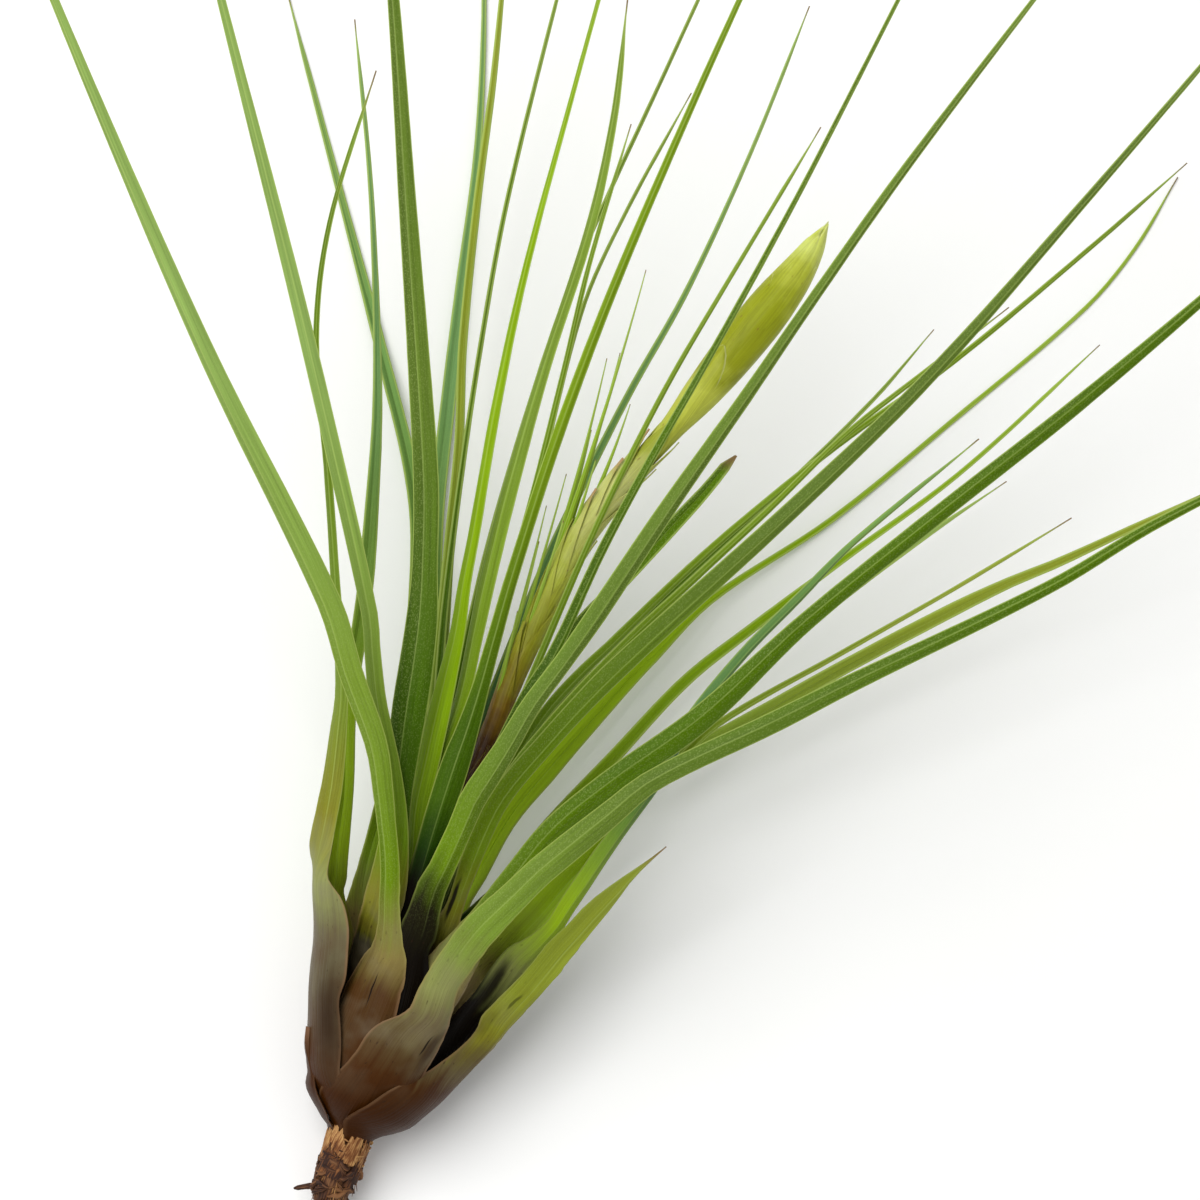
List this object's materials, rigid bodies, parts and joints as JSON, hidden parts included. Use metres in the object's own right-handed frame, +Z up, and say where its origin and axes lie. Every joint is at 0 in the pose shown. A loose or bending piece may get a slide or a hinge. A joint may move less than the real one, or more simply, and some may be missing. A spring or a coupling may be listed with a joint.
{
  "type": "air plant",
  "caption": "Rosette plant lying as picked: a brown bulb of nested leaf sheaths opens into long, narrow arching leaves round a stalk with a flower spike.",
  "frame": {"origin": "middle of the small flat spot under the bulb, on the surface that the plant lies on", "axes": "+Z up from the surface; +Y along the plant, from its stem towards its leaf tips; +X to the right, seen from above with the leaf tips away from the viewer"},
  "size_m": [0.3238, 0.305, 0.161],
  "materials": {
    "stem": "dry, fibrous",
    "leaf_sheath": "dark brown with a papery edge",
    "leaf_grey": "pale grey-green, dusted with scales",
    "leaf_green": "waxy green",
    "leaf_olive": "waxy olive green",
    "leaf_dark": "dark green, speckled with scales",
    "leaf_teal": "waxy blue-green",
    "leaf_yellow": "waxy yellow-green",
    "flower_stalk": "yellow-green bracts with brown tips",
    "flower_spike": "smooth, yellow-green"
  },
  "bodies": {
    "root": {"stem": "stem", "leaf_right_short": "leaf_yellow", "leaf_left_scale": "leaf_sheath", "leaf_rear_teal": "leaf_teal", "leaf_front_right": "leaf_grey", "leaf_left_teal": "leaf_teal", "leaf_right_bright": "leaf_yellow", "leaf_front_left": "leaf_grey", "leaf_rear_left": "leaf_teal", "leaf_right_hidden": "leaf_olive", "leaf_left_dried_tip": "leaf_olive", "leaf_right_dark": "leaf_dark", "leaf_right_yellow": "leaf_yellow", "leaf_front_grey": "leaf_grey", "leaf_right_olive": "leaf_olive", "leaf_left_green": "leaf_green", "leaf_right_teal": "leaf_teal", "leaf_rear_olive": "leaf_olive", "leaf_right_upper": "leaf_green", "leaf_rear_thin": "leaf_dark", "leaf_centre_left": "leaf_dark", "leaf_right_strip": "leaf_dark", "leaf_inner_crossing": "leaf_dark", "leaf_yellow_green": "leaf_yellow", "leaf_right_strip_low": "leaf_dark", "leaf_pale_tip": "leaf_grey", "leaf_dark_centre": "leaf_dark", "leaf_cut_tip": "leaf_dark", "leaf_teal_crossing": "leaf_teal", "leaf_over_spike": "leaf_dark", "leaf_pale_channel": "leaf_teal", "leaf_inner_dark": "leaf_dark", "leaf_thin_over_spike": "leaf_green", "leaf_inner_thin": "leaf_green", "leaf_inner_thread": "leaf_green", "flower_stalk": "flower_stalk", "flower_spike": "flower_spike"}
  },
  "joints": []
}
